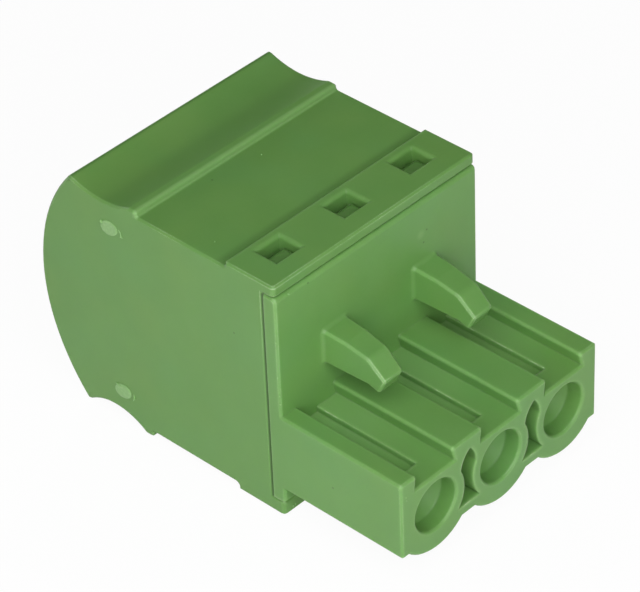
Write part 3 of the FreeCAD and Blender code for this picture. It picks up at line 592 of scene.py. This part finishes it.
# Camera, from the photograph's own view
viewpoint = {
    "azimuth": -45.176,          # degrees
    "elevation": 37.918,
    "roll": -2.588,
    "middlePin": Vector((0.0, -4.76 * mm, 3.90 * mm)),   # the middle pin's axis at the plate
    "aimRight": -3.722 * mm,     # from there to the aim point, as the camera sees it
    "aimUp": 5.139 * mm,
    "distance": 190.986 * mm,
    "lens": 200.54,
    "sensor": 36.0,
    "shiftX": 0.01083,
    "shiftY": -0.00239,
    "nearest": 0.01,
    "farthest": 10.0,
}


def makeCamera():
    look = viewpoint
    back = towards(look["azimuth"], look["elevation"])
    level = Vector((0, 0, 1)).cross(back).normalized()
    steep = back.cross(level)
    roll = math.radians(look["roll"])
    right = math.cos(roll) * level + math.sin(roll) * steep
    up = -math.sin(roll) * level + math.cos(roll) * steep
    place = look["middlePin"] + look["aimRight"] * right + look["aimUp"] * up
    place = place + look["distance"] * back
    data = bpy.data.cameras.new("camera")
    data.lens = look["lens"]
    data.sensor_width = look["sensor"]
    data.shift_x = look["shiftX"]
    data.shift_y = look["shiftY"]
    data.clip_start = look["nearest"]
    data.clip_end = look["farthest"]
    camera = bpy.data.objects.new("camera", data)
    bpy.context.scene.collection.objects.link(camera)
    matrix = camera.matrix_world.copy()
    for column, axis in enumerate((right, up, back, place)):
        for row in range(3):
            matrix[row][column] = axis[row]
    camera.matrix_world = matrix
    bpy.context.scene.camera = camera


makeCamera()
print("camera placed")


# Floor, backdrop and studio light; sizes and distances in metres, angles in degrees
studio = {
    "floorSize": 3.0,
    "floorColour": (0.90, 0.90, 0.90, 1),
    "floorGlow": 0.95,       # how much of the floor shows as plain white
    "worldLight": 0.08,
    "lamps": {
        "softbox": {"azimuth": -50, "elevation": 42, "distance": 0.14, "size": 0.17,
                    "strength": 1.35},
        "fillLamp": {"azimuth": -20, "elevation": 15, "distance": 0.13, "size": 0.09,
                     "strength": 0.18},
        "backLamp": {"azimuth": 130, "elevation": 5, "distance": 0.24, "size": 0.09,
                     "strength": 0.68, "matteOnly": True},   # no sheen of it on the top
        "entryLamp": {"azimuth": 184, "elevation": 6, "distance": 0.30, "size": 0.06,
                      "strength": 0.22},                     # for the screws in their entries
    },
}


def makeFloor():
    bpy.ops.object.select_all(action="DESELECT")
    bpy.ops.mesh.primitive_plane_add(size=studio["floorSize"], location=(0, 0, 0))
    floor = bpy.context.object
    floor.name = "floor"
    material, start = newMaterial("paleFloor")
    seen = start.node("ShaderNodeLightPath", output="Is Camera Ray")
    matte = start.node("ShaderNodeBsdfDiffuse", None, {"Color": studio["floorColour"]})
    white = start.node("ShaderNodeEmission", None, {"Color": plainWhite, "Strength": 1.0})
    share = seen * studio["floorGlow"]
    finishTree(start, start.node("ShaderNodeMixShader", None, {0: share, 1: matte, 2: white}))
    floor.data.materials.append(material)


def makeWorld():
    world = bpy.data.worlds.new("studio")
    bpy.context.scene.world = world
    world.use_nodes = True
    world.node_tree.nodes.clear()
    start = Wire(world.node_tree)
    seen = start.node("ShaderNodeLightPath", output="Is Camera Ray")
    dim = start.node("ShaderNodeBackground", None,
                     {"Color": plainWhite, "Strength": studio["worldLight"]})
    white = start.node("ShaderNodeBackground", None, {"Color": plainWhite, "Strength": 1.0})
    finishTree(start, start.node("ShaderNodeMixShader", None, {0: seen, 1: dim, 2: white}),
               "ShaderNodeOutputWorld")


def makeLamps():
    low, high = cadBox
    middle = (low + high) / 2
    for name, look in studio["lamps"].items():
        away = towards(look["azimuth"], look["elevation"])
        data = bpy.data.lights.new(name, "AREA")
        data.size = look["size"]
        data.energy = look["strength"] * math.pi ** 2 * look["distance"] ** 2
        lamp = bpy.data.objects.new(name, data)
        bpy.context.scene.collection.objects.link(lamp)
        lamp.location = middle + away * look["distance"]
        lamp.visible_glossy = not look.get("matteOnly", False)
        lamp.rotation_mode = "QUATERNION"
        lamp.rotation_quaternion = (-away).to_track_quat("-Z", "Y")


makeFloor()
makeWorld()
makeLamps()
bpy.context.scene.view_settings.view_transform = "Standard"
print("studio ready")
